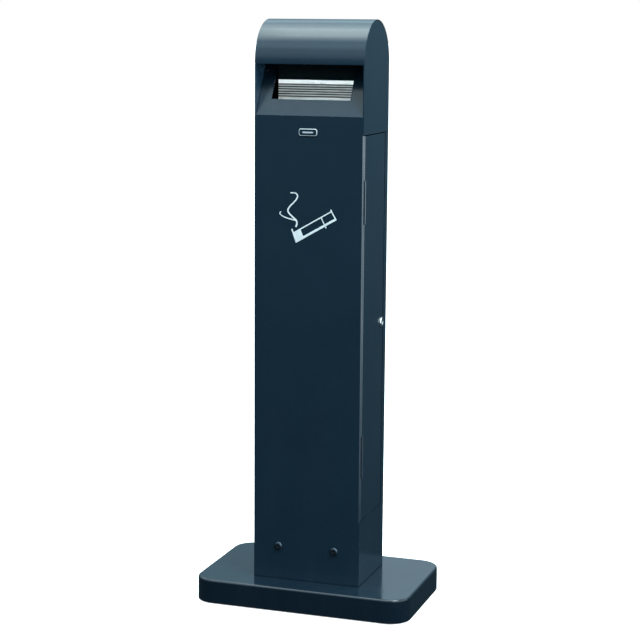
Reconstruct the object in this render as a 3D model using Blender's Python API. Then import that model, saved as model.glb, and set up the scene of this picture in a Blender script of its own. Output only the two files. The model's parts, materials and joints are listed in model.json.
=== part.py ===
"""Free-standing ashtray bin.

A sheet-metal column on a flat weighted base. A rounded hood covers the mouth, where an inclined
panel leads to a ridged stub-out plate. A hopper drops the butts into a removable bin, which comes
out through a hinged and locked door in the side.

Metres, +Z up. The origin is the centre of the footprint on the ground. The mouth faces -Y and the
door is on the +X side.
"""

import math

import bmesh
import bpy
from mathutils import Vector

# Whole object
HEIGHT = 1.000
COLUMN_WIDTH = 0.191
COLUMN_DEPTH = 0.141
BASE_WIDTH = 0.384
BASE_DEPTH = 0.240
BASE_TOP = 0.043
BASE_CORNER = 0.037
BASE_EDGE = 0.004
BASE_SHEET = 0.003
SHEET = 0.002
GAP = 0.0003

# Places that follow from them
SIDE_X = COLUMN_WIDTH / 2
FACE_Y = COLUMN_DEPTH / 2
INNER_X = SIDE_X - SHEET
INNER_Y = FACE_Y - SHEET
FOOT_Z = BASE_TOP + GAP
HOOD_CENTRE_Z = HEIGHT - FACE_Y

# Mouth: the inclined panel starts at the front panel's top edge and leans back under the hood
MOUTH_Z = 0.8415
LIP_Z = 0.926
LIP_RETURN = 0.010
SLOPE = math.radians(60)
CHUTE_LENGTH = 0.150
OPENING_LEFT = -0.0715
OPENING_RIGHT = 0.0665
OPENING_START = 0.0306
OPENING_END = 0.118
PLATE_Y = -0.0225
PLATE_THICK = 0.003
PLATE_LEFT = OPENING_LEFT + 2 * GAP
PLATE_RIGHT = OPENING_RIGHT - 2 * GAP
PLATE_BOTTOM = 0.850
PLATE_TOP = 0.8992
PLATE_BAND = 0.0065
GROOVES = 6
GROOVE_PITCH = 0.004
GROOVE_WIDTH = 0.002
GROOVE_DEPTH = 0.0015
BACKING_TOP = 0.931
MITRE = SHEET * math.tan((math.pi / 2 - SLOPE) / 2)

# Blank badge on the front
BADGE_X = -0.001
BADGE_Z = 0.815
BADGE_WIDTH = 0.032
BADGE_HEIGHT = 0.012
BADGE_CORNER = 0.003
BADGE_THICK = 0.001

# Doorway and door
DOORWAY_BOTTOM = 0.157
DOORWAY_TOP = 0.812
DOORWAY_REAR = 0.0545
CORNER_BEND = 0.003
CORNER_END = -FACE_Y + CORNER_BEND
DOOR_GAP = 0.0015
DOOR_BOTTOM = DOORWAY_BOTTOM + DOOR_GAP
DOOR_TOP = DOORWAY_TOP - DOOR_GAP
DOOR_FRONT = -0.0635
DOOR_REAR = DOORWAY_REAR - DOOR_GAP
DOOR_FLANGE = 0.010
DOOR_BEND = 0.0045
FLANGE = 0.0105

# Hinges
HINGE_X = 0.0925
HINGE_Y = -0.063
HINGE_HEIGHTS = {"lower": 0.268, "upper": 0.701}
HINGE_LENGTH = 0.070
MIDDLE_KNUCKLE = 0.026
NOTCH_LENGTH = 0.073
NOTCH_REAR = -0.0560
KNUCKLE_RADIUS = 0.0028
PIN_RADIUS = 0.0015
PIN_HOLE = PIN_RADIUS + GAP
LEAF = 0.0016
DOOR_LEAF = 0.0014

# Cam lock
LOCK_Y = 0.043
LOCK_Z = 0.485
BEZEL_RADIUS = 0.0085
BARREL_RADIUS = 0.0055
PLUG_RADIUS = 0.0042
CAM_REACH = 0.024

# Removable bin and its bail handle
SHELF_Z = 0.160
SHELF_END = 0.0815
BIN_LOW = Vector((-0.080, -0.050, SHELF_Z + GAP))
BIN_HIGH = Vector((0.066, 0.046, 0.660))
BIN_CORNER = 0.012
BIN_SHEET = 0.001
BIN_HEM = 0.004
BIN_MIDDLE = (BIN_LOW + BIN_HIGH) / 2
BAIL_RADIUS = 0.0025
BAIL_RISE = 0.0035
BAIL_ARM = 0.046
PIVOT_HOLE = BAIL_RADIUS + GAP

# Hopper between the mouth and the bin
HOPPER_SHEET = 0.0012
HOPPER_TOP = 0.846
HOPPER_THROAT = 0.745
HOPPER_OUTLET = 0.722
HOPPER_HALF_X = 0.092
HOPPER_HALF_Y = 0.0645
OUTLET_HALF_X = 0.042
OUTLET_HALF_Y = 0.030

# Fasteners
FOOT_BOLT_X = 0.0505
FOOT_BOLT_Z = 0.1017
BOLT_RADIUS = 0.004
BOLT_HOLE = 0.0045
BUTTON_RADIUS = 0.007
BASE_BOLT_X = 0.060
BASE_BOLT_Y = 0.040
RIVET_X = 0.0885
RIVET_ALONG = {"lower": 0.085, "upper": 0.135}
RIVET_HOLE = 0.0018
BRACKET_SHEET = 0.004

ORIGIN = Vector((0, 0, 0))
DOOR_PIVOT = Vector((HINGE_X, HINGE_Y, (DOOR_BOTTOM + DOOR_TOP) / 2))
LOCK_PIVOT = Vector((SIDE_X, LOCK_Y, LOCK_Z))
BIN_PIVOT = Vector((BIN_MIDDLE.x, BIN_MIDDLE.y, BIN_LOW.z))
BAIL_PIVOT = Vector((BIN_MIDDLE.x, BIN_MIDDLE.y, BIN_HIGH.z + BAIL_RISE))

# Finishes: colour, metallic, roughness
POWDER_COAT = ((0.014, 0.032, 0.052), 0.0, 0.28)
POWDER_COAT_BASE = ((0.014, 0.026, 0.038), 0.0, 0.15)
SILVER_ENAMEL = ((0.60, 0.64, 0.66), 0.0, 0.35)
BLACKENED = ((0.012, 0.014, 0.016), 0.3, 0.60)
STAINLESS = ((0.72, 0.74, 0.74), 1.0, 0.30)
CHROME = ((0.85, 0.86, 0.87), 1.0, 0.12)
GALVANISED = ((0.52, 0.55, 0.57), 1.0, 0.45)
DARK_ZINC = ((0.045, 0.065, 0.085), 0.8, 0.35)
CAST_WEIGHT = ((0.28, 0.28, 0.27), 0.0, 0.90)
RUBBER = ((0.02, 0.02, 0.02), 0.0, 0.80)


# ---------------------------------------------------------------- outlines

def flat(x, y):
    """A point of a flat outline."""
    return Vector((x, y))


def left_of(direction):
    """The unit vector to the left of a flat direction."""
    return flat(-direction.y, direction.x)


def rectangle(low_x, low_y, high_x, high_y):
    """Corners of a rectangle."""
    return [flat(low_x, low_y), flat(high_x, low_y), flat(high_x, high_y), flat(low_x, high_y)]


def arc(centre, radius, start, end, steps):
    """Points on an arc, angles in degrees."""
    angles = [math.radians(start + (end - start) * i / steps) for i in range(steps + 1)]
    return [centre + radius * flat(math.cos(a), math.sin(a)) for a in angles]


def rounded_rectangle(centre, width, depth, radius, steps=5):
    """A rectangle with round corners, counter-clockwise from its +X side."""
    points = []
    for quarter, (sign_x, sign_y) in enumerate([(1, 1), (-1, 1), (-1, -1), (1, -1)]):
        corner = centre + flat(sign_x * (width / 2 - radius), sign_y * (depth / 2 - radius))
        points += arc(corner, radius, 90 * quarter, 90 * quarter + 90, steps)
    return points


def rounded_path(corners, radii, steps):
    """Points along a flat path with round corners, each with the path's direction there."""
    path = []
    last = len(corners) - 1
    for i, (corner, radius) in enumerate(zip(corners, radii)):
        before = (corner - corners[i - 1] if i else corners[1] - corner).normalized()
        after = (corners[i + 1] - corner).normalized() if i < last else before
        if not radius:
            path.append((corner, before))
            continue
        turn = math.atan2(before.x * after.y - before.y * after.x, before.dot(after))
        side = math.copysign(1, turn)
        start = corner - before * radius * math.tan(abs(turn) / 2)
        centre = start + left_of(before) * side * radius
        heading = math.atan2(before.y, before.x)
        for step in range(steps + 1):
            angle = heading + turn * step / steps
            direction = flat(math.cos(angle), math.sin(angle))
            path.append((centre - left_of(direction) * side * radius, direction))
    return path


def folded(middle, thickness, bend=0.0005, steps=3):
    """Outline of a bent sheet from the points along its middle and its inner bend radius."""
    radii = [0, *[bend + thickness / 2] * (len(middle) - 2), 0]
    path = rounded_path(middle, radii, steps)
    one_side = [point + left_of(direction) * thickness / 2 for point, direction in path]
    other_side = [point - left_of(direction) * thickness / 2 for point, direction in path]
    return one_side + other_side[::-1]


# ---------------------------------------------------------------- solids

def finish_object(obj, finish):
    """Give an object its own material and smooth its round faces."""
    colour, metallic, roughness = finish
    material = bpy.data.materials.new(obj.name)
    material.use_nodes = True
    shader = material.node_tree.nodes["Principled BSDF"]
    shader.inputs["Base Color"].default_value = (*colour, 1)
    shader.inputs["Metallic"].default_value = metallic
    shader.inputs["Roughness"].default_value = roughness
    obj.data.materials.clear()
    obj.data.materials.append(material)
    obj.data.shade_smooth()
    obj.data.set_sharp_from_angle(angle=math.radians(32))
    return obj


def solid(name, points, faces, pivot=ORIGIN):
    """A closed object from points and faces, with its origin at pivot."""
    mesh = bpy.data.meshes.new(name)
    mesh.from_pydata([Vector(point) - pivot for point in points], [], faces)
    shape = bmesh.new()
    shape.from_mesh(mesh)
    bmesh.ops.recalc_face_normals(shape, faces=shape.faces)
    shape.to_mesh(mesh)
    shape.free()
    obj = bpy.data.objects.new(name, mesh)
    obj.location = pivot
    bpy.context.collection.objects.link(obj)
    return obj


def loft(name, rings, pivot=ORIGIN, hollow=False):
    """Join equal rings of points in order. The two ends are capped, or joined when hollow."""
    count = len(rings[0])
    points = [point for ring in rings for point in ring]
    spans = len(rings) if hollow else len(rings) - 1
    faces = []
    for i in range(spans):
        here = i * count
        there = (i + 1) % len(rings) * count
        for j in range(count):
            k = (j + 1) % count
            faces.append((here + j, here + k, there + k, there + j))
    if not hollow:
        faces.append(tuple(range(count)))
        faces.append(tuple(range(len(points) - count, len(points))))
    return solid(name, points, faces, pivot)


def level(outline, z):
    """A flat outline laid at a height."""
    return [Vector((point.x, point.y, z)) for point in outline]


def prism(name, outline, axis, low, high, pivot=ORIGIN):
    """An outline pushed along X, Y or Z. It is drawn in YZ, XZ or XY."""
    place = {
        "X": lambda point, along: Vector((along, point.x, point.y)),
        "Y": lambda point, along: Vector((point.x, along, point.y)),
        "Z": lambda point, along: Vector((point.x, point.y, along)),
    }[axis]
    return loft(name, [[place(point, along) for point in outline] for along in (low, high)], pivot)


def box(name, low, high, pivot=ORIGIN):
    """A rectangular block between two corners."""
    return prism(name, rectangle(low[0], low[1], high[0], high[1]), "Z", low[2], high[2], pivot)


def polygon_factor(angle, sides):
    """How much further than the middle of a flat a regular polygon's edge is at an angle."""
    half = math.pi / sides
    return 1 / math.cos((angle + half) % (2 * half) - half)


def turned(name, profile, base, direction, segments=24, pivot=ORIGIN, hollow=False):
    """Turn a profile of (radius, height, sides) about an axis. sides is 0 on a round ring."""
    turn = Vector((0, 0, 1)).rotation_difference(Vector(direction))
    rings = []
    for radius, height, sides in profile:
        ring = []
        for i in range(segments):
            angle = 2 * math.pi * i / segments
            reach = radius * (polygon_factor(angle, sides) if sides else 1)
            point = Vector((reach * math.cos(angle), reach * math.sin(angle), height))
            ring.append(Vector(base) + turn @ point)
        rings.append(ring)
    return loft(name, rings, pivot, hollow)


def rod(name, radius, start, end, segments=16, pivot=ORIGIN):
    """A plain round bar between two points."""
    length = (Vector(end) - Vector(start)).length
    profile = [(radius, 0, 0), (radius, length, 0)]
    return turned(name, profile, start, Vector(end) - Vector(start), segments, pivot)


def combine(target, tool, operation):
    """Apply an exact boolean of tool to target, and remove the tool."""
    modifier = target.modifiers.new("boolean", "BOOLEAN")
    modifier.operation = operation
    modifier.solver = "EXACT"
    modifier.object = tool
    bpy.context.view_layer.update()
    view = bpy.context.evaluated_depsgraph_get()
    mesh = bpy.data.meshes.new_from_object(target.evaluated_get(view))
    target.modifiers.clear()
    target.data = mesh
    bpy.data.objects.remove(tool)
    return target


def join(target, *tools):
    """Fuse tools onto target."""
    for tool in tools:
        combine(target, tool, "UNION")
    return target


def cut(target, *tools):
    """Cut tools out of target."""
    for tool in tools:
        combine(target, tool, "DIFFERENCE")
    return target


def attach(parent, *children):
    """Make pieces move with a parent."""
    for child in children:
        child.location = child.location - parent.location
        child.parent = parent


# ---------------------------------------------------------------- base

def make_base_shell():
    """The base cover: a shallow upturned tray with a soft top edge, open underneath."""
    skirt = 0.0015

    def ring(inset, z):
        outline = rounded_rectangle(
            flat(0, 0), BASE_WIDTH - 2 * inset, BASE_DEPTH - 2 * inset, BASE_CORNER - inset, 8)
        return level(outline, z)

    rings = [ring(BASE_SHEET, BASE_TOP - BASE_SHEET), ring(BASE_SHEET, skirt), ring(0, skirt)]
    for step in range(5):
        angle = math.radians(90 * step / 4)
        inset = BASE_EDGE * (1 - math.cos(angle))
        rings.append(ring(inset, BASE_TOP - BASE_EDGE * (1 - math.sin(angle))))
    shell = loft("base_shell", rings)
    for x in (-BASE_BOLT_X, BASE_BOLT_X):
        for y in (-BASE_BOLT_Y, BASE_BOLT_Y):
            cut(shell, rod("hole", BOLT_HOLE, (x, y, 0.030), (x, y, 0.050)))
    finish_object(shell, POWDER_COAT_BASE)


def make_base_inside():
    """The underplate, the ballast block on it, and the rubber foot pads below it."""
    inset = BASE_SHEET + GAP
    plate_bottom = 0.0033
    plate_top = 0.0063
    ballast_top = 0.034
    outline = rounded_rectangle(
        flat(0, 0), BASE_WIDTH - 2 * inset, BASE_DEPTH - 2 * inset, BASE_CORNER - inset, 8)
    finish_object(prism("base_underplate", outline, "Z", plate_bottom, plate_top), GALVANISED)
    block = rounded_rectangle(flat(0, 0), BASE_WIDTH - 0.034, BASE_DEPTH - 0.030, 0.022)
    finish_object(prism("ballast_block", block, "Z", plate_top + GAP, ballast_top), CAST_WEIGHT)
    pad_profile = [(0.0145, 0, 0), (0.016, 0.001, 0), (0.016, plate_bottom - GAP, 0)]
    corners = [(-1, -1), (1, -1), (1, 1), (-1, 1)]
    for number, (sign_x, sign_y) in enumerate(corners, start=1):
        place = (sign_x * (BASE_WIDTH / 2 - 0.030), sign_y * (BASE_DEPTH / 2 - 0.030), 0)
        finish_object(turned(f"foot_pad_{number}", pad_profile, place, (0, 0, 1)), RUBBER)


def make_spigot_bracket():
    """The folded bracket inside the column's foot, with its four bolts into the base."""
    wall_y = INNER_Y - GAP - BRACKET_SHEET / 2
    floor_z = FOOT_Z + BRACKET_SHEET / 2
    top_z = 0.125
    middle = [flat(-wall_y, top_z), flat(-wall_y, floor_z), flat(wall_y, floor_z), flat(wall_y, top_z)]
    bracket = prism("spigot_bracket", folded(middle, BRACKET_SHEET, 0.002), "X", -0.082, 0.082)
    for x in (-FOOT_BOLT_X, FOOT_BOLT_X):
        cut(bracket, rod("hole", BOLT_HOLE, (x, -0.08, FOOT_BOLT_Z), (x, 0.08, FOOT_BOLT_Z)))
    head_base = FOOT_Z + BRACKET_SHEET + GAP
    shank_depth = -0.010
    head = [(BOLT_RADIUS, shank_depth, 0), (BOLT_RADIUS, 0, 0), (0.0065, 0.0001, 6),
            (0.0065, 0.0045, 6), (0.0058, 0.0053, 6)]
    number = 0
    for x in (-BASE_BOLT_X, BASE_BOLT_X):
        for y in (-BASE_BOLT_Y, BASE_BOLT_Y):
            number += 1
            cut(bracket, rod("hole", BOLT_HOLE, (x, y, 0.040), (x, y, 0.050)))
            bolt = turned(f"base_bolt_{number}", head, (x, y, head_base), (0, 0, 1))
            finish_object(bolt, DARK_ZINC)
    finish_object(bracket, GALVANISED)


# ---------------------------------------------------------------- column

def make_front_panel():
    """The flat front, mitred to the inclined panel, with a round bend beside the door."""
    section = [flat(-FACE_Y, FOOT_Z), flat(-INNER_Y, FOOT_Z),
               flat(-INNER_Y, MOUTH_Z - MITRE), flat(-FACE_Y, MOUTH_Z)]
    overlap = SIDE_X - 2 * CORNER_BEND
    panel = prism("front_panel", section, "X", -SIDE_X, SIDE_X)
    cut(panel, box("doorway_corner", (overlap, -0.08, DOORWAY_BOTTOM + GAP),
                   (0.1, -0.06, DOORWAY_TOP - GAP)))
    middle = [flat(overlap - 0.002, -FACE_Y + SHEET / 2), flat(SIDE_X - SHEET / 2, -FACE_Y + SHEET / 2),
              flat(SIDE_X - SHEET / 2, CORNER_END + GAP)]
    bend = folded(middle, SHEET, CORNER_BEND - SHEET, 6)
    join(panel, prism("bend", bend, "Z", DOORWAY_BOTTOM + GAP, DOORWAY_TOP - GAP))
    for x in (-FOOT_BOLT_X, FOOT_BOLT_X):
        cut(panel, rod("hole", BOLT_HOLE, (x, -0.08, FOOT_BOLT_Z), (x, -0.06, FOOT_BOLT_Z)))
    finish_object(panel, POWDER_COAT)


def side_outline():
    """A side panel in YZ: it stands behind the front panel, steps forward beside the mouth, and
    its arched top fits under the hood."""
    back = INNER_Y - GAP
    hood = arc(flat(0, HOOD_CENTRE_Z), back, 180, 0, 28)
    return [flat(-back, FOOT_Z), flat(-back, MOUTH_Z + GAP), flat(-FACE_Y, MOUTH_Z + GAP),
            flat(-FACE_Y, LIP_Z - GAP), flat(-back, LIP_Z - GAP), *hood, flat(back, FOOT_Z)]


def make_left_side_panel():
    """The closed side, with flanges along its front and rear edges."""
    panel = prism("left_side_panel", side_outline(), "X", -SIDE_X, -INNER_X)
    edge = INNER_Y - GAP
    for low_y, high_y, top in ((-edge, -edge + SHEET, 0.838), (edge - SHEET, edge, 0.925)):
        low = (-INNER_X - 0.001, low_y, FOOT_Z)
        join(panel, box("flange", low, (-INNER_X + FLANGE, high_y, top)))
    finish_object(panel, POWDER_COAT)


def make_right_side_panel():
    """The side with the doorway, whose edges are flanged inwards."""
    panel = prism("right_side_panel", side_outline(), "X", INNER_X, SIDE_X)
    cut(panel, box("doorway", (0.08, -0.08, DOORWAY_BOTTOM), (0.1, DOORWAY_REAR, DOORWAY_TOP)))
    edge = INNER_Y - GAP
    inner = SIDE_X - DOOR_FLANGE
    rear_flange = box("rear", (inner - 0.001, edge - SHEET, FOOT_Z), (INNER_X + 0.001, edge, 0.925))
    jamb = box("jamb", (inner, DOORWAY_REAR, DOORWAY_BOTTOM - SHEET),
               (INNER_X + 0.001, DOORWAY_REAR + SHEET, DOORWAY_TOP + SHEET))
    sill = box("sill", (inner, -edge + 0.003, DOORWAY_BOTTOM - SHEET),
               (INNER_X + 0.001, DOORWAY_REAR + SHEET, DOORWAY_BOTTOM))
    head = box("head", (inner, -edge + 0.003, DOORWAY_TOP),
               (INNER_X + 0.001, DOORWAY_REAR + SHEET, DOORWAY_TOP + SHEET))
    join(panel, rear_flange, jamb, sill, head)
    finish_object(panel, POWDER_COAT)


def make_back_and_hood_skin():
    """One sheet that runs up the back and over the top, and ends in the lip above the mouth."""
    outer = arc(flat(0, HOOD_CENTRE_Z), FACE_Y, 0, 180, 40)
    inner = arc(flat(0, HOOD_CENTRE_Z), INNER_Y, 180, 0, 40)
    outline = [flat(FACE_Y, FOOT_Z), *outer, flat(-FACE_Y, LIP_Z), flat(-INNER_Y, LIP_Z),
               *inner, flat(INNER_Y, FOOT_Z)]
    skin = prism("back_and_hood_skin", outline, "X", -SIDE_X, SIDE_X)
    reach = INNER_X - GAP
    join(skin, box("lip", (-reach, -INNER_Y - 0.001, LIP_Z), (reach, -INNER_Y + LIP_RETURN, LIP_Z + SHEET)))
    for x in (-FOOT_BOLT_X, FOOT_BOLT_X):
        cut(skin, rod("hole", BOLT_HOLE, (x, 0.06, FOOT_BOLT_Z), (x, 0.08, FOOT_BOLT_Z)))
    finish_object(skin, POWDER_COAT)


def make_foot_bolts():
    """Button-head bolts through the front and the back into the spigot bracket."""
    profile = [(BOLT_RADIUS, -0.012, 0), (BOLT_RADIUS, GAP, 0), (BUTTON_RADIUS, GAP + 0.0001, 0),
               (BUTTON_RADIUS, 0.0012, 0), (0.0063, 0.0024, 0), (0.0050, 0.0033, 0),
               (0.0036, 0.0038, 0), (0.0022, 0.0038, 6), (0.0022, 0.0018, 6)]
    for side, sign in (("front", -1), ("rear", 1)):
        for hand, x in (("left", -FOOT_BOLT_X), ("right", FOOT_BOLT_X)):
            place = (x, sign * FACE_Y, FOOT_BOLT_Z)
            bolt = turned(f"foot_bolt_{side}_{hand}", profile, place, (0, sign, 0))
            finish_object(bolt, DARK_ZINC)


def make_badge():
    """A blank rounded plate on the front, with a small chamfer round its face."""
    chamfer = 0.0004
    face = -FACE_Y - GAP
    centre = flat(BADGE_X, BADGE_Z)
    rings = []
    for inset, y in ((0, face), (0, face - BADGE_THICK + chamfer), (chamfer, face - BADGE_THICK)):
        outline = rounded_rectangle(
            centre, BADGE_WIDTH - 2 * inset, BADGE_HEIGHT - 2 * inset, BADGE_CORNER - inset)
        rings.append([Vector((point.x, y, point.y)) for point in outline])
    finish_object(loft("badge", rings), SILVER_ENAMEL)


# ---------------------------------------------------------------- mouth

def along_chute(distance, depth=0.0):
    """A YZ point on the inclined panel's face, or below it by a depth."""
    forward = flat(math.cos(SLOPE), math.sin(SLOPE))
    return flat(-FACE_Y, MOUTH_Z) + forward * distance - left_of(forward) * depth


def make_chute_panel():
    """The inclined panel between the side panels, with the mouth's rectangular opening."""
    section = [along_chute(GAP), along_chute(CHUTE_LENGTH), along_chute(CHUTE_LENGTH, SHEET),
               along_chute(MITRE + GAP, SHEET)]
    reach = INNER_X - GAP
    panel = prism("chute_panel", section, "X", -reach, reach)
    reach_through = 5 * SHEET
    opening = [along_chute(OPENING_START, -reach_through), along_chute(OPENING_END, -reach_through),
               along_chute(OPENING_END, reach_through), along_chute(OPENING_START, reach_through)]
    cut(panel, prism("opening", opening, "X", OPENING_LEFT, OPENING_RIGHT))
    outward = (0, -math.sin(SLOPE), math.cos(SLOPE))
    shank = RIVET_HOLE - GAP
    shank_depth = 0.004
    head = [(shank, -shank_depth, 0), (shank, GAP, 0), (0.0030, GAP + 0.0001, 0), (0.0028, 0.0008, 0),
            (0.0020, 0.0014, 0), (0.0008, 0.0017, 0)]
    for level_name, distance in RIVET_ALONG.items():
        for hand, x in (("left", -RIVET_X), ("right", RIVET_X)):
            face = along_chute(distance)
            below = along_chute(distance, 2 * shank_depth)
            above = along_chute(distance, -2 * shank_depth)
            cut(panel, rod("hole", RIVET_HOLE, (x, *below), (x, *above), 12))
            rivet = turned(f"chute_rivet_{level_name}_{hand}", head, (x, *face), outward, 16)
            finish_object(rivet, POWDER_COAT)
    finish_object(panel, POWDER_COAT)


def make_stub_plate():
    """The stainless plate for stubbing out, with level ridges, and the plate that carries it."""
    back = PLATE_Y + PLATE_THICK
    outline = [flat(back, PLATE_BOTTOM), flat(back, PLATE_TOP), flat(PLATE_Y, PLATE_TOP)]
    for groove in range(GROOVES):
        top = PLATE_TOP - PLATE_BAND - groove * GROOVE_PITCH
        outline += [flat(PLATE_Y, top), flat(PLATE_Y + GROOVE_DEPTH, top),
                    flat(PLATE_Y + GROOVE_DEPTH, top - GROOVE_WIDTH), flat(PLATE_Y, top - GROOVE_WIDTH)]
    outline.append(flat(PLATE_Y, PLATE_BOTTOM))
    plate = prism("stub_plate", outline, "X", PLATE_LEFT, PLATE_RIGHT)

    carrier_front = back + GAP
    carrier_back = carrier_front + SHEET
    carrier = box("stub_plate_carrier", (PLATE_LEFT, carrier_front, PLATE_BOTTOM),
                  (PLATE_RIGHT, carrier_back, BACKING_TOP))
    upper = box("upper", (PLATE_LEFT, PLATE_Y, PLATE_TOP + GAP),
                (PLATE_RIGHT, carrier_back, BACKING_TOP))
    join(carrier, upper)
    screw_x = 0.050
    screw_z = 0.856
    shank = 0.0016
    head = 0.0038
    bite = 0.0015
    seat = carrier_back + GAP - (back - bite)
    profile = [(shank, 0, 0), (shank, seat, 0), (head, seat + 0.0001, 0), (head - 0.0002, seat + 0.0018, 0),
               (head - 0.0012, seat + 0.0024, 0)]
    for hand, x in (("left", -screw_x), ("right", screw_x)):
        tip = (x, back - bite, screw_z)
        for piece in (plate, carrier):
            start = (x, back - bite - GAP, screw_z)
            cut(piece, rod("hole", shank + GAP, start, (x, 0, screw_z), 12))
        finish_object(turned(f"stub_plate_screw_{hand}", profile, tip, (0, 1, 0), 16), DARK_ZINC)
    finish_object(plate, STAINLESS)
    finish_object(carrier, POWDER_COAT)


def make_hopper():
    """The funnel from the mouth down to the bin, open at both ends."""
    def ring(half_x, half_y, centre, z, inset):
        outline = rounded_rectangle(
            centre, 2 * (half_x - inset), 2 * (half_y - inset), 0.008 - inset, 3)
        return level(outline, z)

    outlet = flat(BIN_MIDDLE.x, BIN_MIDDLE.y)
    stations = [(HOPPER_HALF_X, HOPPER_HALF_Y, flat(0, 0), HOPPER_TOP),
                (OUTLET_HALF_X, OUTLET_HALF_Y, outlet, HOPPER_THROAT),
                (OUTLET_HALF_X, OUTLET_HALF_Y, outlet, HOPPER_OUTLET)]
    rings = [ring(*station, 0) for station in stations]
    rings += [ring(*station, HOPPER_SHEET) for station in reversed(stations)]
    finish_object(loft("hopper", rings, hollow=True), GALVANISED)


# ---------------------------------------------------------------- inside the column

def make_shelf():
    """The shelf that the bin stands on, and the stop that keeps the bin off the far side."""
    edge = 0.066
    depth = 0.018
    middle = [flat(-edge + SHEET / 2, SHELF_Z - depth), flat(-edge + SHEET / 2, SHELF_Z - SHEET / 2),
              flat(edge - SHEET - 0.001, SHELF_Z - SHEET / 2), flat(edge - SHEET - 0.001, SHELF_Z - depth)]
    shelf = prism("bin_shelf", folded(middle, SHEET), "X", -INNER_X + GAP, SHELF_END)
    finish_object(shelf, GALVANISED)
    stop_x = BIN_LOW.x - 0.0025
    rise = 0.018
    stop = [flat(stop_x - 0.008, SHELF_Z + GAP + 0.001), flat(stop_x, SHELF_Z + GAP + 0.001),
            flat(stop_x, SHELF_Z + rise)]
    finish_object(prism("bin_stop", folded(stop, SHEET), "Y", -0.040, 0.036), GALVANISED)


def make_hinge_jamb():
    """The strip behind the front panel that carries the hinges."""
    low = (0.060, -INNER_Y + GAP, DOORWAY_BOTTOM + 0.005)
    high = (0.0885, -INNER_Y + GAP + SHEET, DOORWAY_TOP - 0.005)
    finish_object(box("hinge_jamb", low, high), GALVANISED)


def make_door_stops():
    """Two brackets on the rear jamb, each with a rubber buffer behind the door's rear edge."""
    face = DOORWAY_REAR + SHEET + GAP
    for name, z in (("lower", 0.200), ("upper", 0.770)):
        middle = [flat(SIDE_X - 0.004, face + SHEET / 2), flat(0.0775, face + SHEET / 2),
                  flat(0.0775, 0.0468)]
        bracket = prism(f"door_stop_{name}", folded(middle, SHEET), "Z", z - 0.010, z + 0.010)
        finish_object(bracket, GALVANISED)
        base_x = 0.0785 + GAP
        reach = SIDE_X - DOOR_FLANGE - GAP - base_x
        profile = [(0.0034, 0, 0), (0.0034, reach - 0.001, 0), (0.0026, reach, 0)]
        buffer = turned(f"door_buffer_{name}", profile, (base_x, 0.0500, z), (1, 0, 0), 16)
        finish_object(buffer, RUBBER)


def make_strike():
    """The plate on the rear jamb that the cam turns behind."""
    face = DOORWAY_REAR + SHEET + GAP
    low = (0.0838, face, LOCK_Z - 0.020)
    finish_object(box("lock_strike", low, (INNER_X - GAP, face + SHEET, LOCK_Z + 0.020)), GALVANISED)


# ---------------------------------------------------------------- door

def make_door_panel():
    """The door's sheet, flanged inwards all round, with a notch at each hinge. The notch's rear edge
    is rounded over on the outside."""
    inner = SIDE_X - DOOR_FLANGE
    middle_x = SIDE_X - SHEET / 2
    front = DOOR_FRONT + SHEET / 2
    rear = DOOR_REAR - SHEET / 2
    front_half = [flat(inner, front), flat(middle_x, front), flat(middle_x, 0)]
    rear_half = [flat(middle_x, -0.001), flat(middle_x, rear), flat(inner, rear)]
    panel = prism("door_panel", folded(front_half, SHEET, DOOR_BEND - SHEET, 6), "Z",
                  DOOR_BOTTOM, DOOR_TOP, DOOR_PIVOT)
    join(panel, prism("rear", folded(rear_half, SHEET), "Z", DOOR_BOTTOM, DOOR_TOP))
    for low_z in (DOOR_BOTTOM, DOOR_TOP - SHEET):
        low = (inner, DOOR_FRONT + DOOR_BEND, low_z)
        join(panel, box("flange", low, (middle_x, DOOR_REAR - SHEET / 2, low_z + SHEET)))
    edge = [*arc(flat(INNER_X, NOTCH_REAR + SHEET), SHEET, -90, 0, 5),
            flat(SIDE_X, NOTCH_REAR + 2 * SHEET), flat(INNER_X, NOTCH_REAR + 2 * SHEET)]
    for z in HINGE_HEIGHTS.values():
        low_z = z - NOTCH_LENGTH / 2
        high_z = z + NOTCH_LENGTH / 2
        low = (inner - 0.005, DOOR_FRONT - 0.005, low_z)
        cut(panel, box("notch", low, (SIDE_X + 0.005, NOTCH_REAR + 1.5 * SHEET, high_z)))
        join(panel, prism("rounded_edge", edge, "Z", low_z - 0.0005, high_z + 0.0005))
    hole = rod("hole", BARREL_RADIUS + GAP, (0.08, LOCK_Y, LOCK_Z), (0.11, LOCK_Y, LOCK_Z))
    cut(panel, hole)
    return finish_object(panel, POWDER_COAT)


def make_door_stiffener():
    """A hat-section rib down the middle of the door's inner face."""
    sheet = 0.0012
    seat = INNER_X - GAP - sheet / 2
    rib = seat - 0.008
    front = -0.002
    rear = 0.022
    foot = 0.010
    middle = [flat(seat, front - foot), flat(seat, front), flat(rib, front), flat(rib, rear),
              flat(seat, rear), flat(seat, rear + foot)]
    outline = folded(middle, sheet)
    stiffener = prism("door_stiffener", outline, "Z", DOOR_BOTTOM + 0.040, DOOR_TOP - 0.040, DOOR_PIVOT)
    return finish_object(stiffener, GALVANISED)


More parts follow.
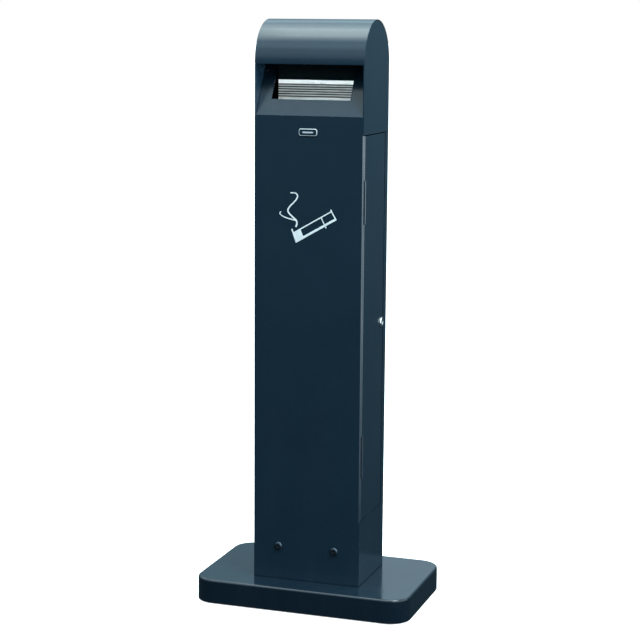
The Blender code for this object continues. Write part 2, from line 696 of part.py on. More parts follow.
def make_hinge(name, z):
    """One hinge: the leaf on the jamb, the leaf on the door, and the pin through both."""
    half = HINGE_LENGTH / 2
    middle = MIDDLE_KNUCKLE / 2
    clear = 0.0005
    outer_spans = ((z - half, z - middle - clear), (z + middle + clear, z + half))
    front = HINGE_Y - KNUCKLE_RADIUS
    frame_leaf = box(f"frame_hinge_leaf_{name}", (0.066, front, z - half),
                     (HINGE_X - KNUCKLE_RADIUS - clear, front + LEAF, z + half))
    for low_z, high_z in outer_spans:
        join(frame_leaf, box("lug", (0.080, front, low_z), (HINGE_X, front + LEAF, high_z)))
        join(frame_leaf, rod("knuckle", KNUCKLE_RADIUS, (HINGE_X, HINGE_Y, low_z),
                             (HINGE_X, HINGE_Y, high_z)))
    cut(frame_leaf, rod("bore", PIN_HOLE, (HINGE_X, HINGE_Y, z - 0.05), (HINGE_X, HINGE_Y, z + 0.05)))
    finish_object(frame_leaf, BLACKENED)

    near = HINGE_Y + KNUCKLE_RADIUS + clear
    low = (HINGE_X - DOOR_LEAF / 2, near, z - half)
    door_leaf = box(f"door_hinge_leaf_{name}", low, (HINGE_X + DOOR_LEAF / 2, -0.038, z + half),
                    DOOR_PIVOT)
    join(door_leaf, box("web", (HINGE_X - DOOR_LEAF / 2, HINGE_Y, z - middle),
                        (HINGE_X + DOOR_LEAF / 2, near + 0.002, z + middle)))
    join(door_leaf, rod("knuckle", KNUCKLE_RADIUS, (HINGE_X, HINGE_Y, z - middle),
                        (HINGE_X, HINGE_Y, z + middle)))
    cut(door_leaf, rod("bore", PIN_HOLE, (HINGE_X, HINGE_Y, z - 0.05), (HINGE_X, HINGE_Y, z + 0.05)))
    finish_object(door_leaf, BLACKENED)

    head = 0.0026
    crown = 0.0020
    end = half + GAP
    profile = [(crown, -end - 0.0010, 0), (head, -end - 0.0004, 0), (head, -end, 0),
               (PIN_RADIUS, -end + 0.0001, 0), (PIN_RADIUS, end - 0.0001, 0), (head, end, 0),
               (head, end + 0.0004, 0), (crown, end + 0.0010, 0)]
    finish_object(turned(f"hinge_pin_{name}", profile, (HINGE_X, HINGE_Y, z), (0, 0, 1), 16), DARK_ZINC)
    return door_leaf


def make_lock_body():
    """The lock's housing with its bezel, and the nut that holds it in the door."""
    bezel_face = SIDE_X + 0.0020
    barrel_end = 0.0835
    bore = PLUG_RADIUS + GAP
    depth = bezel_face - barrel_end
    profile = [(bore, 0, 0), (bore, depth, 0), (BARREL_RADIUS, depth, 0),
               (BARREL_RADIUS, bezel_face - SIDE_X - GAP, 0), (BEZEL_RADIUS, bezel_face - SIDE_X - GAP, 0),
               (BEZEL_RADIUS, 0.0006, 0), (BEZEL_RADIUS - 0.0006, 0, 0)]
    housing = turned("lock_housing", profile, (bezel_face, LOCK_Y, LOCK_Z), (-1, 0, 0), 32,
                     DOOR_PIVOT, hollow=True)
    nut_profile = [(BARREL_RADIUS + GAP, 0, 0), (BARREL_RADIUS + GAP, 0.0035, 0), (0.0067, 0.0035, 6),
                   (0.0067, 0, 6)]
    nut = turned("lock_nut", nut_profile, (INNER_X - GAP, LOCK_Y, LOCK_Z), (-1, 0, 0), 24,
                 DOOR_PIVOT, hollow=True)
    return finish_object(housing, CHROME), finish_object(nut, DARK_ZINC)


def make_lock_core():
    """The turning part of the lock: the plug with its keyway, the cam and the cam's screw."""
    plug_face = SIDE_X + 0.0016
    shoulder = 0.0830
    shank_end = 0.0801
    depth = plug_face - shoulder
    shank_depth = plug_face - shank_end
    profile = [(PLUG_RADIUS, 0, 0), (PLUG_RADIUS, depth, 0), (0.0025, depth + 0.0001, 4),
               (0.0025, shank_depth, 4)]
    plug = turned("lock_plug", profile, (plug_face, LOCK_Y, LOCK_Z), (-1, 0, 0), 24, LOCK_PIVOT)
    cut(plug, box("keyway", (plug_face - 0.003, LOCK_Y - 0.0007, LOCK_Z - 0.0028),
                  (plug_face + 0.001, LOCK_Y + 0.0007, LOCK_Z + 0.0028)))
    cut(plug, rod("thread", 0.0015, (0.07, LOCK_Y, LOCK_Z), (0.0865, LOCK_Y, LOCK_Z), 12))

    outline = [*arc(flat(LOCK_Y, LOCK_Z), 0.0065, 180, 360, 12),
               *arc(flat(LOCK_Y, LOCK_Z + CAM_REACH - 0.004), 0.004, 0, 180, 8)]
    cam = prism("lock_cam", outline, "X", 0.0803, 0.0825, LOCK_PIVOT)
    half = 0.0025 + GAP
    cut(cam, box("square", (0.07, LOCK_Y - half, LOCK_Z - half), (0.09, LOCK_Y + half, LOCK_Z + half)))

    screw_profile = [(0.0030, 0, 0), (0.0042, 0.0006, 0), (0.0042, 0.0022, 0), (0.0012, 0.0023, 0),
                     (0.0012, 0.0080, 0)]
    screw = turned("cam_screw", screw_profile, (0.0777, LOCK_Y, LOCK_Z), (1, 0, 0), 16, LOCK_PIVOT)
    finish_object(plug, CHROME)
    finish_object(cam, GALVANISED)
    finish_object(screw, DARK_ZINC)
    return plug, cam, screw


def make_door():
    """The whole door, moving with its panel."""
    panel = make_door_panel()
    attach(panel, make_door_stiffener(), *make_lock_body())
    for name, z in HINGE_HEIGHTS.items():
        attach(panel, make_hinge(name, z))
    plug, cam, screw = make_lock_core()
    attach(plug, cam, screw)
    attach(panel, plug)


# ---------------------------------------------------------------- removable bin

def bin_ring(inset, z):
    """The bin's outline at a height, moved inwards by inset."""
    outline = rounded_rectangle(
        flat(BIN_MIDDLE.x, BIN_MIDDLE.y), BIN_HIGH.x - BIN_LOW.x - 2 * inset,
        BIN_HIGH.y - BIN_LOW.y - 2 * inset, BIN_CORNER - inset)
    return level(outline, z)


def make_bin_shell():
    """The open-topped bin, with its rim hemmed inwards."""
    hem_depth = 0.005
    foot = 0.002
    rings = [bin_ring(foot, BIN_LOW.z), bin_ring(0, BIN_LOW.z + foot), bin_ring(0, BIN_HIGH.z - 0.001),
             bin_ring(0.001, BIN_HIGH.z), bin_ring(BIN_HEM - 0.001, BIN_HIGH.z),
             bin_ring(BIN_HEM, BIN_HIGH.z - 0.001), bin_ring(BIN_HEM, BIN_HIGH.z - hem_depth),
             bin_ring(BIN_SHEET, BIN_HIGH.z - hem_depth - 0.001),
             bin_ring(BIN_SHEET, BIN_LOW.z + foot + BIN_SHEET),
             bin_ring(foot + BIN_SHEET, BIN_LOW.z + BIN_SHEET)]
    return finish_object(loft("bin_shell", rings, BIN_PIVOT), GALVANISED)


def make_bail_ear(name, outer_x, side):
    """A round-topped lug on one end of the bin, with the bail's pivot hole."""
    thick = 0.0015
    near = outer_x + side * GAP
    far = near + side * thick
    half = 0.010
    low_z = BIN_HIGH.z - 0.022
    top = arc(flat(BIN_MIDDLE.y, BAIL_PIVOT.z), 0.007, 0, 180, 10)
    outline = [flat(BIN_MIDDLE.y - half, low_z), flat(BIN_MIDDLE.y + half, low_z), *top]
    ear = prism(name, outline, "X", min(near, far), max(near, far), BIN_PIVOT)
    hole_start = (near - side * 0.005, BIN_MIDDLE.y, BAIL_PIVOT.z)
    cut(ear, rod("hole", PIVOT_HOLE, hole_start, (far + side * 0.005, BIN_MIDDLE.y, BAIL_PIVOT.z)))
    return finish_object(ear, GALVANISED)


def make_bail_handle():
    """A bent round wire: both ends pivot in the ears, and it lies flat over the rim."""
    end_reach = 0.0045
    arm_inset = 0.0045
    bend = 0.008
    elbow = 0.0035
    sides = 10
    left_x = BIN_LOW.x + arm_inset
    right_x = BIN_HIGH.x - arm_inset
    pivot_y = BAIL_PIVOT.y
    grip_y = pivot_y + BAIL_ARM
    corners = [flat(BIN_LOW.x - end_reach, pivot_y), flat(left_x, pivot_y), flat(left_x, grip_y),
               flat(right_x, grip_y), flat(right_x, pivot_y), flat(BIN_HIGH.x + end_reach, pivot_y)]
    path = rounded_path(corners, [0, elbow, bend, bend, elbow, 0], 4)
    rings = []
    for point, direction in path:
        side_way = left_of(direction)
        ring = []
        for i in range(sides):
            angle = 2 * math.pi * i / sides
            spread = side_way * BAIL_RADIUS * math.cos(angle)
            ring.append(Vector((point.x + spread.x, point.y + spread.y,
                                BAIL_PIVOT.z + BAIL_RADIUS * math.sin(angle))))
        rings.append(ring)
    return finish_object(loft("bail_handle", rings, BAIL_PIVOT), DARK_ZINC)


def make_bin():
    """The whole bin, moving with its shell."""
    shell = make_bin_shell()
    attach(shell, make_bail_ear("bail_ear_left", BIN_LOW.x, -1))
    attach(shell, make_bail_ear("bail_ear_right", BIN_HIGH.x, 1))
    attach(shell, make_bail_handle())


def main():
    """Clear the scene and build the ashtray bin."""
    for obj in list(bpy.data.objects):
        bpy.data.objects.remove(obj)
    make_base_shell()
    make_base_inside()
    make_spigot_bracket()
    make_front_panel()
    make_left_side_panel()
    make_right_side_panel()
    make_back_and_hood_skin()
    make_foot_bolts()
    make_badge()
    make_chute_panel()
    make_stub_plate()
    make_hopper()
    make_shelf()
    make_hinge_jamb()
    make_door_stops()
    make_strike()
    make_door()
    make_bin()


main()
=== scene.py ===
"""Looks for the freestanding ashtray bin: finishes, the cigarette decal, a plain studio and the camera."""

import json
import math

import bmesh
import bpy
from mathutils import Matrix, Vector


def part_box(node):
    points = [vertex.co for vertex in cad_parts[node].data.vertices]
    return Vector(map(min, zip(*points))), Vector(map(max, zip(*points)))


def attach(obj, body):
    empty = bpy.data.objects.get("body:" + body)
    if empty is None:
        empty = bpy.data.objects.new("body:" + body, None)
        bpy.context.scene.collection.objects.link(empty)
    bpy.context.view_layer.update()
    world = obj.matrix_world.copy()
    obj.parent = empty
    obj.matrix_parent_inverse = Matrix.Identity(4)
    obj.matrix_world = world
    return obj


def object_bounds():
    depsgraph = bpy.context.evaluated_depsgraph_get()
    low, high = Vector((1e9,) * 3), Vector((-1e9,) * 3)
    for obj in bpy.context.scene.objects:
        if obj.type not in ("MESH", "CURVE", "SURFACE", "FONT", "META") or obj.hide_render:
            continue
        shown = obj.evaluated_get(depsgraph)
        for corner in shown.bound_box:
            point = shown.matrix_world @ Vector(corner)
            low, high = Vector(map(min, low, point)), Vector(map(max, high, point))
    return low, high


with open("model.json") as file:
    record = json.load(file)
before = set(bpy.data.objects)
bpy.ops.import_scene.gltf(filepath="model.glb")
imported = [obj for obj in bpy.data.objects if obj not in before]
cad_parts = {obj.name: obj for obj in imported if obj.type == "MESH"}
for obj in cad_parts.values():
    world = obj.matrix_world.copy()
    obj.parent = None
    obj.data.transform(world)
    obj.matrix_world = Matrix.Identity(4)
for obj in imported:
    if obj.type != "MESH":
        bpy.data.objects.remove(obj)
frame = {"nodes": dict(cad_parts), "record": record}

CAD_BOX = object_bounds()

# ---------------------------------------------------------------- sizes, in metres and degrees

CAMERA_AZIMUTH = 18.704
CAMERA_ELEVATION = 9.620
CAMERA_ROLL = 0.436
CAMERA_DISTANCE = 3.0266
CAMERA_TARGET = (-0.0016, 0.0, 0.4892)
CAMERA_LENS_MM = 98.9
CAMERA_SENSOR_MM = 36.0
CAMERA_CLIP_END = 200.0

EDGE_ROUNDING = 0.0004
SMOOTH_ANGLE = 32.0
FLAT_ANGLE = 0.3
WELD_DISTANCE = 2e-5

DECAL_THICKNESS = 0.00015
DECAL_TILT = 30.0
DECAL_CORNER = (-0.0215, 0.6300)
DECAL_LEAN = 0.18
DECAL_COLUMNS = (0.0, 0.0026, 0.0165, 0.0588, 0.0606, 0.0806, 0.0828)
DECAL_ROWS = (-0.0034, 0.0, 0.0038, 0.0156, 0.0176, 0.0198, 0.0238)
DECAL_CELLS = (
    (0, (1, 6)),
    (1, (1, 4)),
    (2, (1, 2)),
    (2, (3, 4)),
    (3, (0, 4)),
    (4, (1, 2)),
    (4, (3, 4)),
    (5, (1, 5)),
)
SMOKE = (
    (-0.0218, 0.6570), (-0.0197, 0.6625), (-0.0215, 0.6685), (-0.0285, 0.6745), (-0.0345, 0.6803),
    (-0.0357, 0.6855), (-0.0320, 0.6915), (-0.0258, 0.6975), (-0.0205, 0.7040), (-0.0188, 0.7095),
    (-0.0226, 0.7136), (-0.0315, 0.7138),
)
SMOKE_WIDTHS = (0.0030, 0.0019)
WISP = (
    (-0.0215, 0.6680), (-0.0300, 0.6695), (-0.0390, 0.6718), (-0.0462, 0.6748), (-0.0500, 0.6785),
    (-0.0482, 0.6822),
)
WISP_WIDTHS = (0.0022, 0.0014)
RIBBON_STEPS = 8

BADGE_RIM = 0.0013
BADGE_FIELD_CORNER = 0.0022
BADGE_BAR = (0.0190, 0.0026)
BADGE_CORNER_STEPS = 6
BADGE_BAR_ROUNDNESS = 0.98

# finishes: how wide edges are rubbed and lightened (wear, and painted highlight along the edges), how deep
# the painted shade reaches into gaps, how far the spangle's cells are bent
COAT_EDGE = 0.0011
BOLT_EDGE = 0.0006
CREVICE_REACH = 0.006
SPANGLE_WARP = (0.012, 0.012, 0.012)

# the stub plate: depths behind its face, where the grooves' painted shade starts and is full, and two drops
# below its top edge, where the ridges' darkening (stubbing and painted shade) ends at the top band and
# eases at the foot band
PLATE_GROOVE = (0.0001, 0.0005)
PLATE_TOP_BAND = (0.0066, 0.0060)
PLATE_FOOT_BAND = (0.0310, 0.0290)

FLOOR_HALF = 80.0
FLOOR_GAP = 0.0002

# ---------------------------------------------------------------- colours, linear

POWDER_BLUE = (0.0080, 0.0215, 0.0370)
POWDER_BLUE_WORN = (0.0098, 0.0250, 0.0420)
BASE_BLUE = (0.0044, 0.0122, 0.0220)
BASE_BLUE_WORN = (0.0057, 0.0147, 0.0258)
# lighter tone of rubbed edges: worn-through primer, and painted highlight along the edges
PRIMER_AND_EDGE_HIGHLIGHT = (0.11, 0.18, 0.24)
DUST = (0.20, 0.20, 0.18)
# near black: painted shade in gaps between sheets and in the stub plate's grooves, and soot specks
SOOT_AND_SHADE_BLACK = (0.0010, 0.0030, 0.0036)
# painted shade: the mouth's back colours stand for the shade deep under the hood, with some soot
MOUTH_SHADE_BLACK = (0.0012, 0.0090, 0.0115)
MOUTH_SHADE_BLACK_DULL = (0.0030, 0.0120, 0.0145)
ASH = (0.060, 0.062, 0.062)
STEEL = (0.88, 0.90, 0.90)
STEEL_DULL = (0.74, 0.76, 0.76)
# darker steel on the plate's ridges: stubbing, and painted shade
STEEL_STUBBED_AND_SHADED = (0.17, 0.19, 0.195)
PRINT_WHITE = (0.93, 0.96, 0.97)
PRINT_GREY = (0.78, 0.83, 0.86)
ENAMEL_SILVER = (0.62, 0.66, 0.69)
ENAMEL_DULL = (0.50, 0.54, 0.57)
CHROME = (0.86, 0.87, 0.88)
CHROME_HANDLED = (0.70, 0.71, 0.72)
ZINC = (0.40, 0.43, 0.45)
ZINC_BRIGHT = (0.62, 0.65, 0.67)
ZINC_GRIME = (0.09, 0.085, 0.075)
BOLT_BLACK = (0.016, 0.026, 0.038)
BOLT_GREY = (0.045, 0.062, 0.080)
BOLT_RUBBED = (0.26, 0.29, 0.32)
# very dark hinge tones: blackened steel, and painted shade in the door's notches
HINGE_SHADE_BLACK = (0.005, 0.009, 0.012)
HINGE_SHADE_OILED = (0.011, 0.019, 0.026)
RUST = (0.040, 0.024, 0.015)
CEMENT = (0.20, 0.20, 0.19)
CEMENT_PALE = (0.34, 0.335, 0.32)
STONE = (0.42, 0.40, 0.37)
AIR_HOLE = (0.06, 0.06, 0.058)
RUBBER = (0.012, 0.012, 0.012)
RUBBER_BLOOMED = (0.040, 0.040, 0.038)
FLOOR_PAPER = (0.86, 0.86, 0.86)
FLOOR_PAPER_LIGHT = (0.89, 0.89, 0.89)
FLOOR_GLOW = (1.0, 0.97, 0.95)

# the studio's brightness by elevation: degrees, radiance and tint
COOL = (0.60, 1.0, 1.22)
PALE = (0.78, 1.0, 1.06)
CANOPY = (0.85, 1.0, 0.97)
SKY = (
    (-90.0, 0.045, COOL), (-16.0, 0.055, COOL), (-6.0, 0.11, COOL), (0.0, 0.18, COOL), (9.0, 0.30, COOL),
    (18.0, 0.44, COOL), (26.0, 0.85, PALE), (32.0, 1.20, PALE), (38.0, 1.95, PALE), (46.0, 1.90, PALE),
    (55.0, 1.22, PALE), (90.0, 1.22, PALE),
)

# overhead softboxes, one above the other: name, width, front and rear in Y, height, radiance
OVERHEAD = (
    ("overhead_wide", 2.8, -0.94, 0.90, 2.40, 1.15),
    ("overhead_middle", 2.1, -0.78, 0.60, 2.45, 1.25),
    ("overhead_core", 1.35, -0.60, 0.30, 2.50, 2.5),
)

# screens along the right, one behind the other, seen only in the gloss: name, place, size, radiance, and
# whether the base is lit by it
SCREEN_TINT = (0.84, 1.0, 1.06)
RIGHT_SCREENS = (
    ("right_screen_high", (2.50, -0.67, 1.20), (5.0, 1.4), 1.65, False),
    ("right_screen_middle", (2.58, -0.69, 0.90), (5.0, 2.0), 1.8, False),
    ("right_screen_low", (2.66, -0.71, 0.65), (5.0, 2.5), 1.1, True),
)

# single cards: name, place, width and height, radiance, tint, and the point that the card is turned to
CARD_TINT = (0.80, 1.0, 1.10)
CARDS = (
    ("back_card", (-0.42, 2.80, 1.00), (1.0, 0.7), 0.35, CARD_TINT, (0.0, 0.0, 0.05)),
    ("plate_card", (-0.33, -1.00, 0.90), (1.0, 0.9), 0.9, (0.96, 1.0, 1.0), (0.0, 0.0, 0.875)),
    ("wall_card", (1.70, -2.00, 1.00), (1.0, 1.0), 20.0, CARD_TINT, (0.0, 0.0, 0.87)),
    ("hood_card", (-0.70, -2.05, 1.60), (1.8, 0.68), 0.42, (0.85, 1.0, 1.10), (0.0, 0.0, 0.95)),
    ("key_right", (1.64, -1.02, 2.90), (1.0, 1.0), 20.0, SCREEN_TINT, (0.0, 0.0, 0.6)),
)

# a softbox's energy, for each square metre of it and each unit of radiance
ENERGY_PER_AREA = 4.0


# ---------------------------------------------------------------- node helpers

def put(tree, socket, value):
    """Give a socket a plain value, or a link when the value is another node's output."""
    if isinstance(value, bpy.types.NodeSocket):
        tree.links.new(value, socket)
    elif hasattr(socket.default_value, "__len__") and len(socket.default_value) == 4 and len(value) == 3:
        socket.default_value = (*value, 1.0)
    else:
        socket.default_value = value


def add(tree, kind, sockets=None, **settings):
    """Add one node, with its settings and its sockets by name or number."""
    node = tree.nodes.new(kind)
    for name, value in settings.items():
        setattr(node, name, value)
    for name, value in (sockets or {}).items():
        put(tree, node.inputs[name], value)
    return node


def place(tree, scale=(1.0, 1.0, 1.0), turn=(0.0, 0.0, 0.0)):
    """The object's own metres, scaled and turned."""
    coordinates = add(tree, "ShaderNodeTexCoord")
    mapping = add(tree, "ShaderNodeMapping", {"Vector": coordinates.outputs["Object"], "Scale": scale,
                                              "Rotation": turn})
    return mapping.outputs["Vector"]


def noise(tree, where, scale, detail=3.0, roughness=0.5, distortion=0.0):
    node = add(tree, "ShaderNodeTexNoise", {"Vector": where, "Scale": scale, "Detail": detail,
                                            "Roughness": roughness, "Distortion": distortion})
    return node.outputs[0]


def cells(tree, where, scale, output="Color", feature="F1"):
    node = add(tree, "ShaderNodeTexVoronoi", {"Vector": where, "Scale": scale}, feature=feature)
    return node.outputs[output]


def remap(tree, value, low, high, to_low=0.0, to_high=1.0):
    node = add(tree, "ShaderNodeMapRange", {"Value": value, "From Min": low, "From Max": high,
                                            "To Min": to_low, "To Max": to_high})
    return node.outputs["Result"]


def calc(tree, operation, first, second=0.0):
    node = add(tree, "ShaderNodeMath", {0: first, 1: second}, operation=operation)
    return node.outputs[0]


def mix_colour(tree, amount, first, second):
    node = add(tree, "ShaderNodeMix", {0: amount, 6: first, 7: second}, data_type="RGBA")
    return node.outputs[2]


def bump(tree, height, distance, strength=1.0, normal=None):
    node = add(tree, "ShaderNodeBump", {"Height": height, "Distance": distance, "Strength": strength})
    if normal is not None:
        put(tree, node.inputs["Normal"], normal)
    return node.outputs["Normal"]


def edge_mask(tree, radius):
    """1 along outer and inner edges, 0 on flat faces."""
    rounded = add(tree, "ShaderNodeBevel", {"Radius": radius}, samples=4)
    geometry = add(tree, "ShaderNodeNewGeometry")
    dot = add(tree, "ShaderNodeVectorMath", {0: rounded.outputs["Normal"], 1: geometry.outputs["Normal"]},
              operation="DOT_PRODUCT")
    return remap(tree, dot.outputs["Value"], 0.995, 0.90)


def openness(tree, reach):
    """1 on open faces, 0 deep in the gaps between sheets; the mask for painted shade in those gaps."""
    shade = add(tree, "ShaderNodeAmbientOcclusion", {"Distance": reach}, samples=8)
    return remap(tree, shade.outputs["AO"], 0.25, 0.70)


def height_above_floor(tree, low, high):
    """1 at the floor's side of low, falling to 0 at high."""
    coordinates = add(tree, "ShaderNodeTexCoord")
    parts = add(tree, "ShaderNodeSeparateXYZ", {0: coordinates.outputs["Object"]})
    return remap(tree, parts.outputs["Z"], low, high, 1.0, 0.0)


def shader(name, **sockets):
    """A new material with one Principled shader. Returns the material, its tree and its shader."""
    material = bpy.data.materials.new(name)
    material.use_nodes = True
    tree = material.node_tree
    surface = tree.nodes["Principled BSDF"]
    for socket, value in sockets.items():
        put(tree, surface.inputs[socket.replace("_", " ")], value)
    return material, tree, surface


# ---------------------------------------------------------------- finishes

def powder_coat(name, colour, worn_colour, gloss=0.17, peel=0.5, dust=0.015, wear_and_highlight=0.45):
    """Smooth powder coat: orange peel, a fine tooth, rubbed edges lightened as wear and painted highlight,
    dust towards the foot, and painted shade in the gaps between sheets (near-black colour and weaker
    gloss).
    """
    material, tree, surface = shader(name, IOR=1.5)
    here = place(tree)
    cloud = noise(tree, here, 9.0, 4.0)
    mottle = noise(tree, here, 160.0, 3.0)
    tone = calc(tree, "ADD", calc(tree, "MULTIPLY", cloud, 0.7), calc(tree, "MULTIPLY", mottle, 0.3))
    base = mix_colour(tree, remap(tree, tone, 0.35, 0.65), colour, worn_colour)
    rubbed_here = remap(tree, noise(tree, here, 70.0, 5.0), 0.50, 0.72)
    # rubbed edges get a lighter tone: wear, and painted highlight along the edges
    rub = calc(tree, "MULTIPLY", edge_mask(tree, COAT_EDGE), rubbed_here)
    base = mix_colour(tree, calc(tree, "MULTIPLY", rub, wear_and_highlight), base, PRIMER_AND_EDGE_HIGHLIGHT)
    streaks = noise(tree, place(tree, (26.0, 26.0, 2.2)), 1.0, 4.0, 0.6)
    low = height_above_floor(tree, 0.05, 0.45)
    film = calc(tree, "MULTIPLY", calc(tree, "MULTIPLY", low, remap(tree, streaks, 0.45, 0.75)), dust)
    base = mix_colour(tree, film, base, DUST)
    # painted shade: gaps between sheets turn near black and lose most of their gloss
    clear = openness(tree, CREVICE_REACH)
    put(tree, surface.inputs["Base Color"], mix_colour(tree, clear, SOOT_AND_SHADE_BLACK, base))
    put(tree, surface.inputs["Specular IOR Level"], calc(tree, "MULTIPLY", clear, 0.5))
    smears = remap(tree, noise(tree, here, 22.0, 5.0, 0.6), 0.3, 0.7, gloss - 0.035, gloss + 0.045)
    put(tree, surface.inputs["Roughness"], calc(tree, "ADD", smears, calc(tree, "MULTIPLY", film, 0.8)))
    skin = bump(tree, noise(tree, here, 420.0, 1.0, 0.4), 0.00006 * peel, 0.55)
    tooth = bump(tree, noise(tree, here, 2600.0, 2.0), 0.00002, 0.35, skin)
    put(tree, surface.inputs["Normal"], tooth)
    return material


def sooty_shade_coat(name):
    """The mouth's back: matt near-black coat, its near-black tone and weak gloss being painted shade of the
    deep mouth with some soot, and grey ash dust in its lower corners.
    """
    material, tree, surface = shader(name, Specular_IOR_Level=0.12)
    here = place(tree)
    stain = remap(tree, noise(tree, here, 34.0, 6.0, 0.62), 0.45, 0.72)
    low = height_above_floor(tree, 0.845, 0.895)
    ash = calc(tree, "MULTIPLY", calc(tree, "MULTIPLY", stain, low), 0.5)
    # painted shade: the near-black, mottled tone stands for the shade deep in the mouth, with some soot
    soot_and_shade = mix_colour(tree, noise(tree, here, 60.0, 4.0), MOUTH_SHADE_BLACK, MOUTH_SHADE_BLACK_DULL)
    put(tree, surface.inputs["Base Color"], mix_colour(tree, ash, soot_and_shade, ASH))
    put(tree, surface.inputs["Roughness"], remap(tree, stain, 0.0, 1.0, 0.42, 0.75))
    put(tree, surface.inputs["Normal"], bump(tree, noise(tree, here, 900.0, 4.0), 0.00004, 0.5))
    return material


def stub_steel(name):
    """Brushed stainless steel with fine level lines and scratches. The ridges between the top and bottom
    bands are darkened, partly dulled by stubbing and partly painted shade, and the grooves are near black
    as painted shade, with soot specks besides."""
    material, tree, surface = shader(name, Anisotropic=0.7)
    grain = noise(tree, place(tree, (22.0, 1500.0, 1500.0)), 1.0, 4.0, 0.7)
    scratch_at = place(tree, (5.0, 330.0, 330.0), (0.0, 0.12, 0.0))
    scratches = remap(tree, noise(tree, scratch_at, 1.0, 5.0, 0.75), 0.66, 0.72)
    here = place(tree)
    smear = noise(tree, here, 38.0, 4.0, 0.6)
    specks = remap(tree, noise(tree, here, 700.0, 2.0), 0.70, 0.78)
    low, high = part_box("stub_plate")
    parts = add(tree, "ShaderNodeSeparateXYZ", {0: here})
    # the groove mask feeds painted shade into the grooves
    groove = remap(tree, parts.outputs["Y"], *(low[1] + depth for depth in PLATE_GROOVE))
    below_top = remap(tree, parts.outputs["Z"], *(high[2] - drop for drop in PLATE_TOP_BAND), 1.0, 0.0)
    above_foot = remap(tree, parts.outputs["Z"], *(high[2] - drop for drop in PLATE_FOOT_BAND), 0.70, 1.0)
    patchy = remap(tree, noise(tree, place(tree, (45.0, 1.0, 190.0)), 1.0, 3.0), 0.3, 0.7, 0.55, 0.82)
    # painted shade, with dulling from stubbing, darkens the ridges between the bands
    stubbed_and_shaded = calc(tree, "MULTIPLY", calc(tree, "MULTIPLY", below_top, above_foot), patchy)
    # near black in the grooves is painted shade; the specks are soot
    soot_and_shade = calc(tree, "MAXIMUM", calc(tree, "MULTIPLY", groove, 0.97), calc(tree, "MULTIPLY", specks, 0.5))
    tone = mix_colour(tree, remap(tree, grain, 0.3, 0.7), STEEL_DULL, STEEL)
    tone = mix_colour(tree, stubbed_and_shaded, tone, STEEL_STUBBED_AND_SHADED)
    put(tree, surface.inputs["Base Color"], mix_colour(tree, soot_and_shade, tone, SOOT_AND_SHADE_BLACK))
    put(tree, surface.inputs["Metallic"], remap(tree, soot_and_shade, 0.0, 1.0, 1.0, 0.1))
    rough = remap(tree, grain, 0.3, 0.7, 0.24, 0.34)
    rough = calc(tree, "ADD", rough, remap(tree, smear, 0.4, 0.75, 0.0, 0.08))
    rough = calc(tree, "ADD", rough, calc(tree, "MULTIPLY", stubbed_and_shaded, 0.10))
    put(tree, surface.inputs["Roughness"], calc(tree, "MAXIMUM", rough, calc(tree, "MULTIPLY", soot_and_shade, 0.7)))
    geometry = add(tree, "ShaderNodeNewGeometry")
    up_the_face = add(tree, "ShaderNodeVectorMath", {0: geometry.outputs["Normal"], 1: (1.0, 0.0, 0.0)},
                      operation="CROSS_PRODUCT")
    put(tree, surface.inputs["Tangent"], up_the_face.outputs[0])
    lines = bump(tree, grain, 0.00003, 0.3)
    put(tree, surface.inputs["Normal"], bump(tree, scratches, 0.00003, 0.5, lines))
    return material


def chrome(name):
    """Polished chrome with hairline key scratches and a faint film of handling."""
    material, tree, surface = shader(name, Metallic=1.0)
    here = place(tree)
    film = noise(tree, here, 120.0, 5.0, 0.6)
    hair_lines = noise(tree, place(tree, (300.0, 260.0, 2600.0), (0.5, 0.0, 0.0)), 1.0, 3.0)
    hairs = remap(tree, hair_lines, 0.64, 0.70)
    put(tree, surface.inputs["Base Color"],
        mix_colour(tree, remap(tree, film, 0.45, 0.8), CHROME, CHROME_HANDLED))
    put(tree, surface.inputs["Roughness"],
        calc(tree, "ADD", remap(tree, film, 0.3, 0.8, 0.07, 0.20), calc(tree, "MULTIPLY", hairs, 0.12)))
    put(tree, surface.inputs["Normal"], bump(tree, hairs, 0.00002, 0.4))
    return material


def galvanised(name, grime):
    """Hot-dip galvanised sheet: spangle crystals, each with its own tone and sheen, and grey grime."""
    material, tree, surface = shader(name, Metallic=1.0)
    here = place(tree)
    ripple = add(tree, "ShaderNodeTexNoise", {"Vector": here, "Scale": 70.0, "Detail": 2.0})
    warped = add(tree, "ShaderNodeVectorMath", {0: ripple.outputs["Color"], 1: SPANGLE_WARP, 2: here},
                 operation="MULTIPLY_ADD")
    crystal = add(tree, "ShaderNodeSeparateColor", {0: cells(tree, warped.outputs[0], 95.0)})
    tone = mix_colour(tree, crystal.outputs[0], ZINC, ZINC_BRIGHT)
    dirt = remap(tree, noise(tree, here, 26.0, 6.0, 0.65), 0.5, 0.8, 0.0, grime)
    put(tree, surface.inputs["Base Color"], mix_colour(tree, dirt, tone, ZINC_GRIME))
    put(tree, surface.inputs["Roughness"],
        calc(tree, "ADD", remap(tree, crystal.outputs[1], 0.0, 1.0, 0.32, 0.52),
             calc(tree, "MULTIPLY", dirt, 0.3)))
    frost = bump(tree, crystal.outputs[2], 0.00003, 0.3)
    put(tree, surface.inputs["Normal"], bump(tree, noise(tree, here, 1800.0, 3.0), 0.00002, 0.4, frost))
    return material


